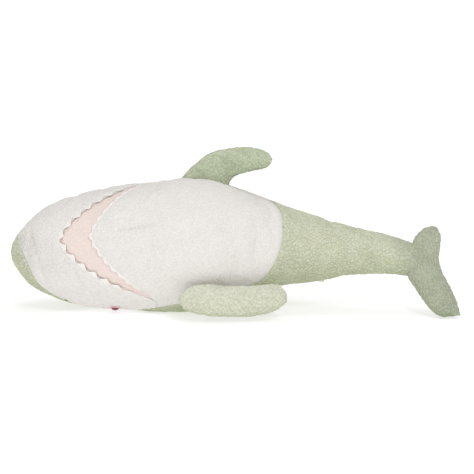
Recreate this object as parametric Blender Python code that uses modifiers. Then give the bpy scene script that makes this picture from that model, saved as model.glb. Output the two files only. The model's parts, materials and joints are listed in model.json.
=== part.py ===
"""Plush shark, 1 m long, lying on its right side.

Sewn cover panels, filling, fins, mouth felt, eyes and thread are separate closed solids.
World frame: +X towards the tail, +Z up, the belly turned towards -Y and a little upwards.
The origin is the centre of the flattened patch that the trunk rests on.
A place on the body is (s, theta): s metres behind the nose tip, theta degrees round from the
middle of the belly, positive towards the shark's left side.
"""

import math

import bmesh
import bpy
import numpy as np
from mathutils import Matrix, Vector

# Driving sizes, in metres.
REST_S = 0.412              # the origin's place along the body
COVER = 0.0020              # backing cloth and pile, pressed
SEAM_GAP = 0.0005
TOOTH_DEPTH = 0.0036        # outer face of the felt teeth, below the cover's outer face
FELT = 0.0012
LINING_DEPTH = 0.0064
HEAD_FILL_DEPTH = 0.0100
BODY_FILL_DEPTH = 0.0055
THREAD_DEPTH = -0.0020      # above the cloth
APEX_GAP = 0.0016           # half the gap between two fillings, on the joint's axis

# Joint places along the body, and the largest turn that the gap there allows, in degrees.
HEAD_JOINT_S, HEAD_TURN = 0.350, 10.5
TAIL_JOINT_S, TAIL_TURN = 0.632, 20.5
FLUKE_JOINT_S, FLUKE_TURN = 0.873, 20.5

# Body stations: (s, radius, centre height, centre y, roll). Roll is how far the middle of the
# belly is turned up from -Y, in degrees.
STATIONS = (
    (0.0000, 0.0000, 0.127, 0.000, 22),
    (0.0180, 0.0435, 0.127, 0.000, 22),
    (0.0400, 0.0700, 0.128, 0.000, 22),
    (0.0850, 0.1000, 0.132, 0.000, 22),
    (0.1520, 0.1235, 0.133, 0.000, 22),
    (0.2000, 0.1325, 0.1345, 0.000, 23),
    (0.2600, 0.1390, 0.138, 0.000, 25),
    (0.3200, 0.1450, 0.138, 0.000, 29),
    (0.4000, 0.1490, 0.142, 0.000, 32),
    (0.4640, 0.1400, 0.143, 0.000, 33),
    (0.5100, 0.1265, 0.142, 0.000, 33),
    (0.5550, 0.1105, 0.141, -0.003, 34),
    (0.6000, 0.0915, 0.1425, -0.008, 38),
    (0.6900, 0.0690, 0.1385, -0.022, 56),
    (0.7800, 0.0495, 0.1340, -0.036, 82),
    (0.8250, 0.0440, 0.1310, -0.043, 96),
    (0.8900, 0.0360, 0.1190, -0.050, 112),
)

# Mouth: both edges are V-shaped curves that meet at the corners.
MOUTH_CORNER = 74.0
UPPER_EDGE = (0.114, 0.208, 1.62)     # s in the middle, growth to the corner, power
LOWER_EDGE = (0.183, 0.143, 1.38)
CHEEK_SEAM_S = 0.3255
TEETH_SPAN = 58.0
TOOTH_LENGTH = 0.009

# Half-width of the white belly cloth, as (s, theta), and how far its middle is turned at the nose.
BELLY_EDGE = (
    (0.0215, 36), (0.030, 50), (0.038, 59), (0.050, 69), (0.060, 77), (0.107, 90), (0.163, 107),
    (0.205, 111), (0.263, 106), (0.319, 90), (0.370, 82), (0.450, 78), (0.547, 69), (0.576, 60), (0.597, 36),
)
BELLY_TURN = ((0.0215, 41), (0.030, 32), (0.038, 28), (0.050, 17), (0.060, 8), (0.085, 2), (0.107, 0))
BELLY_START_S, BELLY_END_S = BELLY_EDGE[0][0], BELLY_EDGE[-1][0]

EYE_S, EYE_THETA, EYE_TURN = 0.232, 95.0, 5.0      # the resting head is pressed out of true
EYE_RADIUS, EYE_RISE = 0.0085, 0.0052
EYE_RING, EYE_STEM, EYE_WASHER = 0.0120, 0.0020, 0.0070     # radii
EYE_PLAY = 0.0003           # clearance of the lock washer round the stem
NOSTRIL_S, NOSTRIL_THETA = 0.123, 88.0
NOSTRIL_HALF, NOSTRIL_RADIUS = 0.004, 0.0010
CLOSING_SEAM = (0.245, 0.325)
STITCHES, STITCH_HALF, STITCH_RADIUS = 18, 0.9, 0.0006
TAPE_LONG, TAPE_WIDE, TAPE_THICK = 0.034, 0.020, 0.0008
TAPE_BEHIND, TAPE_STAND = 0.030, 0.0012

# Fins: how far each root stands off its hinge line, and half the thickness.
PECTORAL_STAND, PECTORAL_LEFT_START, PECTORAL_RIGHT_START = 0.020, 0.0170, 0.0125
DORSAL_START = 0.0145
FIN_HALF, TAIL_FIN_HALF = 0.014, 0.016
FILLING_SHARE = 0.55        # a fin's filling against the fullness of its cloth

WHITE = (0.84, 0.81, 0.78)
GREEN = (0.58, 0.63, 0.45)
PINK = (0.84, 0.69, 0.63)
FELT_WHITE = (0.88, 0.85, 0.81)
FILL = (0.90, 0.90, 0.88)
WINE = (0.10, 0.015, 0.03)
BLUSH = (0.80, 0.40, 0.45)
CLEAR_GREY = (0.55, 0.55, 0.56)
THREAD = (0.75, 0.72, 0.68)
NOSTRIL_THREAD = (0.25, 0.24, 0.18)


def clear_scene():
    for thing in list(bpy.data.objects):
        bpy.data.objects.remove(thing, do_unlink=True)


def new_collection(name):
    made = bpy.data.collections.new(name)
    bpy.context.scene.collection.children.link(made)
    return made


def material(name, colour, roughness):
    made = bpy.data.materials.get(name)
    if made:
        return made
    made = bpy.data.materials.new(name)
    made.use_nodes = True
    shader = made.node_tree.nodes["Principled BSDF"]
    shader.inputs["Base Color"].default_value = (*colour, 1)
    shader.inputs["Roughness"].default_value = roughness
    shader.inputs["Metallic"].default_value = 0
    return made


def white_plush():
    return material("white_plush", WHITE, 0.95)


def green_plush():
    return material("green_plush", GREEN, 0.95)


def filling():
    return material("polyester_filling", FILL, 1.0)


# ---- the body's shape -------------------------------------------------------------------

def smooth_curve(at, places, values):
    """Cubic Hermite curve through values at places."""
    slopes = np.gradient(values, places, axis=0)
    at = min(max(at, places[0]), places[-1])
    i = min(int(np.searchsorted(places, at, side="right")) - 1, len(places) - 2)
    width = places[i + 1] - places[i]
    t = (at - places[i]) / width
    return ((1 + 2 * t) * (1 - t) ** 2 * values[i] + t * (1 - t) ** 2 * width * slopes[i]
            + t * t * (3 - 2 * t) * values[i + 1] + t * t * (t - 1) * width * slopes[i + 1])


def station_value(s, column):
    """Station column at s. The radius is smooth in the root of s, which rounds the nose."""
    places = np.sqrt([row[0] for row in STATIONS])
    values = np.array([row[column] for row in STATIONS], float)
    return smooth_curve(math.sqrt(max(s, 0)), places, values)


def centre(s):
    return Vector((s - REST_S, station_value(s, 3), station_value(s, 2)))


def direction(s, theta):
    """Unit vector square to the body's length, theta degrees round from the belly."""
    turn = math.radians(theta + station_value(s, 4))
    return Vector((0, -math.cos(turn), math.sin(turn)))


def on_body(s, theta, depth=0.0):
    """Point on the body, depth below the cover's outer face and flattened where it rests."""
    point = centre(s) + direction(s, theta) * (station_value(s, 1) - depth)
    point.z = max(point.z, depth)
    return point


def belly_edge(s):
    """Half-width of the white cloth in degrees."""
    places, angles = zip(*BELLY_EDGE)
    return float(np.interp(s, places, angles))


def belly_turn(s):
    """How far the white cloth's middle is turned round the nose, in degrees."""
    places, angles = zip(*BELLY_TURN)
    return float(np.interp(s, places, angles))


def mouth_edge(edge, theta, beyond):
    middle, growth, power = edge
    part = abs(theta) / MOUTH_CORNER
    return middle + growth * part ** power if part < 1 else beyond


def upper_mouth(theta):
    return mouth_edge(UPPER_EDGE, theta, CHEEK_SEAM_S)


def lower_mouth(theta):
    return mouth_edge(LOWER_EDGE, theta, CHEEK_SEAM_S + 0.003)


# ---- mesh helpers -----------------------------------------------------------------------

class Body:
    """A rigid group: an empty on the joint's axis, which its pieces are parented to."""

    def __init__(self, name, pivot, collection):
        self.pivot = Vector(pivot)
        self.collection = collection
        self.empty = bpy.data.objects.new("body_" + name, None)
        self.empty.location = self.pivot
        collection.objects.link(self.empty)

    def add(self, name, mesh, look, matrix=None):
        thing = bpy.data.objects.new(name, mesh)
        if matrix is None:
            mesh.transform(Matrix.Translation(-self.pivot))
        else:
            thing.matrix_world = Matrix.Translation(-self.pivot) @ matrix
        mesh.materials.append(look)
        mesh.shade_smooth()
        thing.parent = self.empty
        self.collection.objects.link(thing)
        return thing


def mesh_of(name, points, faces):
    work = bmesh.new()
    corners = [work.verts.new(point) for point in points]
    for face in faces:
        work.faces.new([corners[i] for i in face])
    bmesh.ops.recalc_face_normals(work, faces=work.faces)
    made = bpy.data.meshes.new(name)
    work.to_mesh(made)
    work.free()
    return made


def sheet(name, rows, outward):
    """Open surface through rows of points, with its faces turned to point like outward."""
    columns = len(rows[0])
    points = [point for row in rows for point in row]
    faces = []
    for i in range(len(rows) - 1):
        for j in range(columns - 1):
            a = i * columns + j
            faces.append((a, a + 1, a + columns + 1, a + columns))
    made = mesh_of(name, points, faces)
    facing = sum((face.normal * face.area).dot(outward(face.center)) for face in made.polygons)
    if facing < 0:
        made.flip_normals()
    return made


def thicken(thing, thickness):
    """Gives an open sheet its thickness on the inner side."""
    solid = thing.modifiers.new("cloth", "SOLIDIFY")
    solid.thickness = thickness
    solid.offset = -1
    return thing


def loft(name, rings, first, last):
    """Closed solid through rings of points, each end a cone to its apex."""
    count = len(rings[0])
    points = [point for ring in rings for point in ring] + [first, last]
    faces = []
    for i in range(len(rings) - 1):
        for j in range(count):
            a, b = i * count + j, i * count + (j + 1) % count
            faces.append((a, b, b + count, a + count))
    start = (len(rings) - 1) * count
    for j in range(count):
        faces.append((len(points) - 2, (j + 1) % count, j))
        faces.append((len(points) - 1, start + j, start + (j + 1) % count))
    return mesh_of(name, points, faces)


def from_axis(point):
    """Direction from the body's long axis to a point of its skin."""
    return point - centre(min(max(point.x + REST_S, 0.0), 0.89))


def body_sheet(name, s_rows, start, end, columns, depth=0.0):
    """Skin between two angles, which are functions of s."""
    rows = []
    for s in s_rows:
        low, high = start(s), end(s)
        rows.append([on_body(s, low + (high - low) * j / columns, depth)
                     for j in range(columns + 1)])
    return sheet(name, rows, from_axis)


def gap_angle(s):
    """Half a seam's gap, in degrees."""
    return math.degrees(SEAM_GAP / max(station_value(s, 1), 0.01))


def clear_of(joint_s, turn):
    """How far a cut stays from a joint's plane, so that the edges can't meet at full turn."""
    return station_value(joint_s, 1) * math.tan(math.radians(turn) / 2) * 1.06 + 0.0008


HEAD_END = HEAD_JOINT_S - clear_of(HEAD_JOINT_S, HEAD_TURN)
TRUNK_START = HEAD_JOINT_S + clear_of(HEAD_JOINT_S, HEAD_TURN)
TRUNK_END = TAIL_JOINT_S - clear_of(TAIL_JOINT_S, TAIL_TURN)
TAIL_START = TAIL_JOINT_S + clear_of(TAIL_JOINT_S, TAIL_TURN)
TAIL_END = FLUKE_JOINT_S - clear_of(FLUKE_JOINT_S, FLUKE_TURN)
FLUKE_START = FLUKE_JOINT_S + clear_of(FLUKE_JOINT_S, FLUKE_TURN)


# ---- head -------------------------------------------------------------------------------

CHEEK_STEPS = 15


def cheek_part(i):
    return (i / CHEEK_STEPS) ** 1.35


def cheek_rows():
    return [BELLY_START_S + (CHEEK_SEAM_S - BELLY_START_S) * cheek_part(i)
            for i in range(CHEEK_STEPS + 1)]


def edge_at(edge, share):
    """Place s where a mouth edge crosses the line at this share of the white cloth's width."""
    s = 0.2
    for _ in range(60):
        s = 0.5 * s + 0.5 * edge(share * belly_edge(s))
    return s


def head_back(body, side):
    """Green cloth of one side of the head, from the nose tip round to the ridge of the back."""
    nose = [0.0012, 0.005, 0.011, BELLY_START_S - 0.0025]
    s_rows = nose + cheek_rows() + [HEAD_END]

    def start(s):
        edge = belly_edge(s) if s >= BELLY_START_S else 0.0
        return belly_turn(s) + side * (edge + gap_angle(s))

    def end(s):
        return side * (180 - gap_angle(s))

    name = "head_back_cover_" + ("left" if side > 0 else "right")
    return thicken(body.add(name, body_sheet(name, s_rows, start, end, 11), green_plush()), COVER)


def snout_cover(body):
    """White cloth in front of the mouth, with the cheeks beside it."""
    half = 13
    shares = [j / half for j in range(-half, half + 1)]
    ends = [edge_at(upper_mouth, share) for share in shares]
    rows = []
    for i in range(CHEEK_STEPS + 1):
        row = []
        for share, end in zip(shares, ends):
            s = BELLY_START_S + (end - BELLY_START_S) * cheek_part(i)
            row.append(on_body(s, belly_turn(s) + share * (belly_edge(s) - gap_angle(s))))
        rows.append(row)
    mesh = sheet("snout_cover", rows, from_axis)
    return thicken(body.add("snout_cover", mesh, white_plush()), COVER)


def jaw_cover(body):
    """White cloth behind the mouth, as far as the trunk."""
    half, steps = 13, 9
    shares = [j / half for j in range(-half, half + 1)]
    starts = [edge_at(lower_mouth, share) for share in shares]
    rows = []
    for i in range(steps + 1):
        row = []
        for share, start in zip(shares, starts):
            s = start + (HEAD_END - start) * i / steps
            row.append(on_body(s, share * (belly_edge(s) - gap_angle(s))))
        rows.append(row)
    mesh = sheet("jaw_cover", rows, from_axis)
    return thicken(body.add("jaw_cover", mesh, white_plush()), COVER)


def mouth_lining(body):
    """Pink cloth sunk between the two mouth edges and tucked under both."""
    half, steps, reach = 12, 5, 70.0
    tuck = 0.006
    rows = []
    for i in range(steps + 1):
        row = []
        for j in range(-half, half + 1):
            theta = reach * j / half
            front, rear = upper_mouth(theta) - tuck, lower_mouth(theta) + tuck
            row.append(on_body(front + (rear - front) * i / steps, theta, LINING_DEPTH))
        rows.append(row)
    mesh = sheet("mouth_lining", rows, from_axis)
    look = material("pink_lining", PINK, 0.9)
    return thicken(body.add("mouth_lining", mesh, look), FELT)


def teeth(body, name, edge, towards, count):
    """Felt strip with pointed teeth; its straight edge is tucked under the cover."""
    tuck, root = 0.004, 0.002
    steps = 2 * count
    rows = [[], [], []]
    for j in range(steps + 1):
        theta = TEETH_SPAN * (2 * j / steps - 1)
        length = TOOTH_LENGTH if j % 2 else root
        base = edge(theta)
        rows[0].append(on_body(base - towards * tuck, theta, TOOTH_DEPTH))
        rows[1].append(on_body(base + towards * root * 0.5, theta, TOOTH_DEPTH))
        rows[2].append(on_body(base + towards * length, theta, TOOTH_DEPTH))
    mesh = sheet(name, rows, from_axis)
    return thicken(body.add(name, mesh, material("tooth_felt", FELT_WHITE, 0.9)), FELT)


def body_filling(body, name, s_rows, depth, apexes):
    """Filling of one stretch of the body."""
    around = 28
    rings = [[on_body(s, 360 * j / around, depth) for j in range(around)] for s in s_rows]
    mesh = loft(name, rings, centre(apexes[0]), centre(apexes[1]))
    return body.add(name, mesh, filling())


def normal_frame(s, theta, lift):
    """Matrix with +Z out of the skin at a place on the body, lifted off it."""
    step = 0.002
    along = (on_body(s + step, theta) - on_body(s - step, theta)).normalized()
    around = (on_body(s, theta + 1) - on_body(s, theta - 1)).normalized()
    out = along.cross(around).normalized()
    if out.dot(direction(s, theta)) < 0:
        out = -out
    across = out.cross(along)
    turn = Matrix((along, across, out)).transposed().to_4x4()
    return Matrix.Translation(on_body(s, theta) + out * lift) @ turn


def turned(name, profile, segments):
    """Solid turned about local Z from a profile of (radius, height), listed top to bottom."""
    work = bmesh.new()
    points = [work.verts.new((radius, 0, height)) for radius, height in profile]
    edges = [work.edges.new(pair) for pair in zip(points, points[1:])]
    if profile[0][0] > 0:
        edges.append(work.edges.new((points[-1], points[0])))
    bmesh.ops.spin(work, geom=points + edges, cent=(0, 0, 0), axis=(0, 0, 1),
                   angle=math.tau, steps=segments, use_merge=True)
    bmesh.ops.remove_doubles(work, verts=work.verts, dist=1e-6)
    bmesh.ops.recalc_face_normals(work, faces=work.faces)
    made = bpy.data.meshes.new(name)
    work.to_mesh(made)
    work.free()
    return made


def eye(body, cutters, cover, side):
    """Safety eye: domed head, felt ring under it, stem through the cloth and lock washer."""
    where = "left" if side > 0 else "right"
    ring_lift, ring_height, head_lift, rim = 0.0012, 0.0010, 0.0027, 0.0002
    stem_end, lock_top, lock_low, hole_half = -0.0072, -0.0042, -0.0056, 0.01
    bore, hole = EYE_STEM + EYE_PLAY, EYE_STEM + 2 * EYE_PLAY
    dome = [(EYE_RADIUS * math.sin(math.radians(a)), head_lift + EYE_RISE * math.cos(math.radians(a)))
            for a in range(0, 91, 18)]
    profile = dome + [(EYE_RADIUS, head_lift - rim), (EYE_STEM, head_lift - rim),
                      (EYE_STEM, stem_end), (0, stem_end)]
    frame = normal_frame(EYE_S, EYE_TURN + side * EYE_THETA, 0.0)
    body.add("eye_" + where, turned("eye", profile, 20), material("eye_plastic", WINE, 0.15), frame)
    felt = [(hole, ring_lift + ring_height), (EYE_RING, ring_lift + ring_height),
            (EYE_RING, ring_lift), (hole, ring_lift)]
    body.add("eye_felt_" + where, turned("eye_felt", felt, 20),
             material("blush_felt", BLUSH, 0.95), frame)
    lock = [(bore, lock_top), (EYE_WASHER, lock_top), (EYE_WASHER, lock_low), (bore, lock_low)]
    body.add("eye_washer_" + where, turned("eye_washer", lock, 20),
             material("washer_plastic", CLEAR_GREY, 0.4), frame)
    drill = [(0, hole_half), (hole, hole_half), (hole, -hole_half), (0, -hole_half)]
    cutter = bpy.data.objects.new("eye_hole_" + where, turned("eye_hole", drill, 12))
    cutter.matrix_world = frame
    cutter.hide_render = True
    cutter.display_type = "WIRE"
    cutters.objects.link(cutter)
    cut = cover.modifiers.new("eye hole " + where, "BOOLEAN")
    cut.operation = "DIFFERENCE"
    cut.object = cutter


def thread(body, name, points, radius, look):
    """Sewing thread lying on the cloth, as a bevelled curve with closed ends."""
    curve = bpy.data.curves.new(name, "CURVE")
    curve.dimensions = "3D"
    curve.bevel_depth = radius
    curve.bevel_resolution = 1
    curve.use_fill_caps = True
    line = curve.splines.new("POLY")
    line.points.add(len(points) - 1)
    for control, point in zip(line.points, points):
        control.co = (*(point - body.pivot), 1)
    thing = bpy.data.objects.new(name, curve)
    curve.materials.append(look)
    thing.parent = body.empty
    body.collection.objects.link(thing)
    return thing


def nostril(body, side):
    """Short bar of embroidery thread."""
    look = material("nostril_thread", NOSTRIL_THREAD, 0.8)
    bow = 1.2
    points = [on_body(NOSTRIL_S + NOSTRIL_HALF * t, side * (NOSTRIL_THETA + bow * t * t), THREAD_DEPTH)
              for t in (-1, -0.5, 0, 0.5, 1)]
    name = "nostril_stitch_" + ("left" if side > 0 else "right")
    return thread(body, name, points, NOSTRIL_RADIUS, look)


def closing_seam(body):
    """Ladder stitch that closes the belly after filling."""
    first, last = CLOSING_SEAM
    points = [on_body(first + (last - first) * i / STITCHES, STITCH_HALF * (-1) ** i, THREAD_DEPTH)
              for i in range(STITCHES + 1)]
    look = material("thread", THREAD, 0.8)
    return thread(body, "closing_seam_thread", points, STITCH_RADIUS, look)


def build_head(collection, cutters):
    body = Body("head", centre(HEAD_JOINT_S), collection)
    head_back(body, 1)
    head_back(body, -1)
    snout = snout_cover(body)
    jaw_cover(body)
    mouth_lining(body)
    teeth(body, "teeth_upper", upper_mouth, 1, 21)
    teeth(body, "teeth_lower", lower_mouth, -1, 18)
    s_rows = [0.017, 0.030, 0.055, 0.09, 0.13, 0.18, 0.23, 0.28, HEAD_END]
    body_filling(body, "head_filling", s_rows, HEAD_FILL_DEPTH, (0.0115, HEAD_JOINT_S - APEX_GAP))
    closing_seam(body)
    for side in (1, -1):
        eye(body, cutters, snout, side)
        nostril(body, side)


# ---- trunk and tail ---------------------------------------------------------------------

def trunk_rows():
    return list(np.linspace(TRUNK_START, 0.547, 8)) + [0.576, BELLY_END_S]


def trunk_back(body, side):
    """Green cloth of one side of the trunk, closing behind the white belly."""
    closing, steps = 0.0025, 4
    s_rows = trunk_rows() + [BELLY_END_S + closing * (i + 1) / steps for i in range(steps)]
    s_rows.append(TRUNK_END)

    def start(s):
        past = min(max(s - BELLY_END_S, 0.0) / closing, 1.0)
        return side * (belly_edge(s) * (1 - past) + gap_angle(s))

    def end(s):
        return side * (180 - gap_angle(s))

    name = "trunk_back_cover_" + ("left" if side > 0 else "right")
    return thicken(body.add(name, body_sheet(name, s_rows, start, end, 12), green_plush()), COVER)


def belly_cover(body):
    def start(s):
        return -belly_edge(s) + gap_angle(s)

    def end(s):
        return belly_edge(s) - gap_angle(s)

    mesh = body_sheet("belly_cover", trunk_rows(), start, end, 18)
    return thicken(body.add("belly_cover", mesh, white_plush()), COVER)


def build_trunk(collection):
    body = Body("trunk", (0, 0, 0), collection)
    trunk_back(body, 1)
    trunk_back(body, -1)
    belly_cover(body)
    body_filling(body, "trunk_filling", list(np.linspace(TRUNK_START, TRUNK_END, 8)),
                 BODY_FILL_DEPTH, (HEAD_JOINT_S + APEX_GAP, TAIL_JOINT_S - APEX_GAP))


def care_label(body):
    """Blank folded tape that stands out of the back seam of the tail."""
    work = bmesh.new()
    bmesh.ops.create_cube(work, size=1.0)
    bmesh.ops.scale(work, verts=work.verts, vec=(TAPE_WIDE, TAPE_THICK, TAPE_LONG))
    bmesh.ops.translate(work, verts=work.verts, vec=(0, 0, TAPE_LONG / 2 + TAPE_STAND))
    mesh = bpy.data.meshes.new("care_label")
    work.to_mesh(mesh)
    work.free()
    return body.add("care_label", mesh, material("label_tape", FELT_WHITE, 0.7),
                    normal_frame(TAIL_START + TAPE_BEHIND, 180.0, 0.0))


def build_tail(collection):
    body = Body("tail", centre(TAIL_JOINT_S), collection)
    s_rows = list(np.linspace(TAIL_START, TAIL_END, 7))
    for side, where in ((1, "left"), (-1, "right")):
        name = "tail_cover_" + where
        mesh = body_sheet(name, s_rows, lambda s: side * gap_angle(s),
                          lambda s: side * (180 - gap_angle(s)), 14)
        thicken(body.add(name, mesh, green_plush()), COVER)
    body_filling(body, "tail_filling", s_rows, BODY_FILL_DEPTH,
                 (TAIL_JOINT_S + APEX_GAP, FLUKE_JOINT_S - APEX_GAP))
    care_label(body)


# ---- fins -------------------------------------------------------------------------------

class Fin:
    """Flat pillow between a front and a rear edge curve in the plane of axes u and w."""

    def __init__(self, origin, u_axis, w_axis, front, rear, half, curl, tips):
        self.origin = Vector(origin)
        self.u_axis = Vector(u_axis).normalized()
        self.w_axis = Vector(w_axis)
        self.w_axis = (self.w_axis - self.u_axis * self.w_axis.dot(self.u_axis)).normalized()
        self.n_axis = self.u_axis.cross(self.w_axis)
        self.front, self.rear = front, rear
        self.half, self.curl, self.tips = half, curl, tips

    def edge(self, curve, b):
        return smooth_curve(b, np.linspace(0, 1, len(curve)), np.array(curve, float))

    def point(self, a, b, height):
        front, rear = self.edge(self.front, b), self.edge(self.rear, b)
        u, w = front + (rear - front) * a
        out = height + self.curl * max(u, 0) ** 2
        return self.origin + self.u_axis * u + self.w_axis * w + self.n_axis * out

    def fullness(self, a, b):
        """Share of the greatest thickness: nothing on the seam, full in the middle."""
        across = max(0.0, 1 - abs(2.16 * a - 1.08) ** 2.4) ** 0.55
        along = max(0.0, 1 - (b / 0.97) ** 4) ** 0.5
        if self.tips == 2:
            along = max(0.0, 1 - abs((2 * b - 1) / 0.97) ** 6) ** 0.5
        return across * along

    def places(self):
        a_places = [0, 0.037, 0.10, 0.2, 0.35, 0.5, 0.65, 0.8, 0.90, 0.963, 1]
        b_places = [0, 0.12, 0.25, 0.4, 0.55, 0.7, 0.82, 0.91, 0.97, 1]
        if self.tips == 2:
            b_places = [0, 0.015, 0.06, 0.14, 0.25, 0.37, 0.5, 0.63, 0.75, 0.86, 0.94, 0.985, 1]
        return a_places, b_places

    def panel(self, body, name, side, look):
        flange = COVER + SEAM_GAP / 2
        a_places, b_places = self.places()
        rows = [[self.point(a, b, side * (flange + self.half * self.fullness(a, b)))
                 for a in a_places] for b in b_places]
        mesh = sheet(name, rows, lambda point: self.n_axis * side)
        return thicken(body.add(name, mesh, look), COVER)

    def fill(self, body, name):
        a_places = [0.14, 0.25, 0.4, 0.5, 0.6, 0.75, 0.86]
        b_places = [0.03, 0.15, 0.3, 0.45, 0.6, 0.73, 0.82]
        if self.tips == 2:
            b_places = [0.1, 0.2, 0.32, 0.44, 0.56, 0.68, 0.8, 0.9]
        half = FILLING_SHARE * self.half
        rings = []
        for b in b_places:
            top = [self.point(a, b, half * self.fullness(a, b)) for a in a_places]
            low = [self.point(a, b, -half * self.fullness(a, b)) for a in reversed(a_places)]
            rings.append(top + low)
        middle = [sum(ring, Vector()) / len(ring) for ring in (rings[0], rings[-1])]
        return body.add(name, loft(name, rings, *middle), filling())


def build_fin(collection, name, pivot, fin, sides):
    body = Body(name, pivot, collection)
    for side, where in ((1, sides[0]), (-1, sides[1])):
        fin.panel(body, f"{name}_cover_{where}", side, green_plush())
    fin.fill(body, f"{name}_filling")


def swept_edges(root_start, root, length, width, rise, tip):
    """Front and rear edges of a swept fin. The fin starts root_start out from its hinge line."""
    front = [(0.02 * root, root_start), (0.20 * length, 0.68 * width), (0.42 * length, 0.93 * width),
             (0.66 * length, width + 0.4 * rise), (0.87 * length, 0.97 * width + 0.9 * rise),
             (0.985 * length, 0.70 * width + rise)]
    rear = [(root, root_start), (root * 1.02, 0.24 * width), (root * 1.24, 0.34 * width + 0.2 * rise),
            (0.70 * length, 0.38 * width + 0.5 * rise), (0.88 * length, 0.42 * width + 0.9 * rise),
            (0.96 * length, tip * width + rise)]
    return front, rear


def pectoral_left(collection):
    """Stands up from the upper flank and sweeps back, its tip curling away."""
    first, last = on_body(0.375, 73), on_body(0.487, 72)
    root = (last - first).length
    front, rear = swept_edges(PECTORAL_LEFT_START, root, 0.200, 0.088, 0.006, 0.52)
    fin = Fin(first, last - first, (0, -0.04, 1), front, rear, FIN_HALF, 0.7, 1)
    build_fin(collection, "pectoral_left", (first + last) / 2, fin, ("back", "front"))


def pectoral_right(collection):
    """Lies in front of the belly, folded down to the floor and swept back."""
    first, last = on_body(0.375, -48, -PECTORAL_STAND), on_body(0.487, -54, -PECTORAL_STAND)
    root = (last - first).length
    front, rear = swept_edges(PECTORAL_RIGHT_START, root, 0.245, 0.0735, 0.0, 0.45)
    fin = Fin(first, last - first, (0, -0.28, -0.96), front, rear, FIN_HALF, 0.0, 1)
    build_fin(collection, "pectoral_right", (first + last) / 2, fin, ("bottom", "top"))


def dorsal(collection):
    """Triangular fin on the ridge of the back, on the side away from the belly."""
    first, last = on_body(0.385, 180), on_body(0.500, 180)
    length = (last - first).length
    front = [(0, DORSAL_START), (0.35 * length, 0.050), (0.72 * length, 0.085),
             (1.04 * length, 0.108)]
    rear = [(length, DORSAL_START), (1.02 * length, 0.045), (1.10 * length, 0.078),
            (1.26 * length, 0.100)]
    fin = Fin(first, last - first, direction(0.44, 180), front, rear, FIN_HALF, 0.0, 1)
    build_fin(collection, "dorsal_fin", (first + last) / 2, fin, ("left", "right"))


def tail_fin(collection):
    """Two-lobed fin in the plane of the twisted tail: short lobe up, long lobe down."""
    hub = centre(FLUKE_JOINT_S)
    lean = 0.58
    start = FLUKE_START - FLUKE_JOINT_S
    front = [(0.058, 0.0745), (0.0353, 0.060), (start + 0.0105, 0.0355), (start + 0.0020, 0.000),
             (start + 0.0005, -0.040), (0.0235, -0.069), (0.042, -0.0975), (0.060, -0.121),
             (0.079, -0.134)]
    rear = [(0.0745, 0.0715), (0.0832, 0.054), (0.0832, 0.032), (0.079, 0.000), (0.085, -0.030),
            (0.0975, -0.057), (0.111, -0.086), (0.120, -0.112), (0.125, -0.131)]
    fin = Fin(hub, (1, -0.05, 0), (0, lean, 1), front, rear, TAIL_FIN_HALF, 0.0, 2)
    build_fin(collection, "tail_fin", hub, fin, ("right", "left"))


def build():
    clear_scene()
    collection = new_collection("plush_shark")
    cutters = new_collection("cutters")
    build_head(collection, cutters)
    build_trunk(collection)
    build_tail(collection)
    pectoral_left(collection)
    pectoral_right(collection)
    dorsal(collection)
    tail_fin(collection)
    bpy.context.view_layer.update()


build()
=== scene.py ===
"""Looks of the plush shark: dense piled cloth panels, fins, mouth, eyes and stitches on the CAD frame.

A place on the body is (s, theta): s metres behind the nose tip, theta degrees round from the
middle of the belly, positive towards the shark's left side. The stations are the CAD's own.
"""

import json
import math

import bpy
import numpy as np
from mathutils import Matrix, Vector, noise
from mathutils.kdtree import KDTree


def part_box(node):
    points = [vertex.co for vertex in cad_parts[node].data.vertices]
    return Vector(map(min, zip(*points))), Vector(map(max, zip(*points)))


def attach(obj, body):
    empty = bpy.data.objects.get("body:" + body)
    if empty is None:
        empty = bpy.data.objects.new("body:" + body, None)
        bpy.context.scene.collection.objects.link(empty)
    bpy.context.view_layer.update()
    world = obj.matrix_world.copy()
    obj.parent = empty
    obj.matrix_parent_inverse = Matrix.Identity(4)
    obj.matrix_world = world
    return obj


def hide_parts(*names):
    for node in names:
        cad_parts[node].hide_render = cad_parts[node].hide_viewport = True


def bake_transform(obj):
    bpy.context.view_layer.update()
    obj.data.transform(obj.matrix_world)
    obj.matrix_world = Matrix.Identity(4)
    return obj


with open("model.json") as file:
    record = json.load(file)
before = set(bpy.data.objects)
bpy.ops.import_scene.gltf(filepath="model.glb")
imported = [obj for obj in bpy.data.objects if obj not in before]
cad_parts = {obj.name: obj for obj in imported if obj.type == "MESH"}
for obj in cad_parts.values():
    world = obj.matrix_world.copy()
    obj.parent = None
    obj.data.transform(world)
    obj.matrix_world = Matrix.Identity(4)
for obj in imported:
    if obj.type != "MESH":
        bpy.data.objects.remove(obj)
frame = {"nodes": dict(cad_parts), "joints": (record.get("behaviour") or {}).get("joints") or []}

noise.seed_set(1)             # left alone, the pile's noise would start from the clock
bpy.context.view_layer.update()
NODES = frame["nodes"]
JOINTS = {joint["name"]: joint for joint in frame["joints"]}

# ---- sizes, in metres -------------------------------------------------------------------

NOSE_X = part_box("head_back_cover_left")[0].x - 0.0012
STEP = 0.0015                 # spacing of the dense pile mesh
HEM = 0.005                   # how far a panel's edge turns in at a seam
ALLOWANCE, ALLOWANCE_DEPTH = 0.006, 0.0035      # green cloth under the white cloth's edge
MID_SPLIT_S = 0.472           # the panels are cut here, between the head and tail bends
TAIL_SPLIT_S = 0.750
TAIL_ROUND_S, TAIL_END_S = 0.880, 0.936
COVER_END_S = 0.930           # the seams and the simulated cloth end here, inside the tail fin

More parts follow.
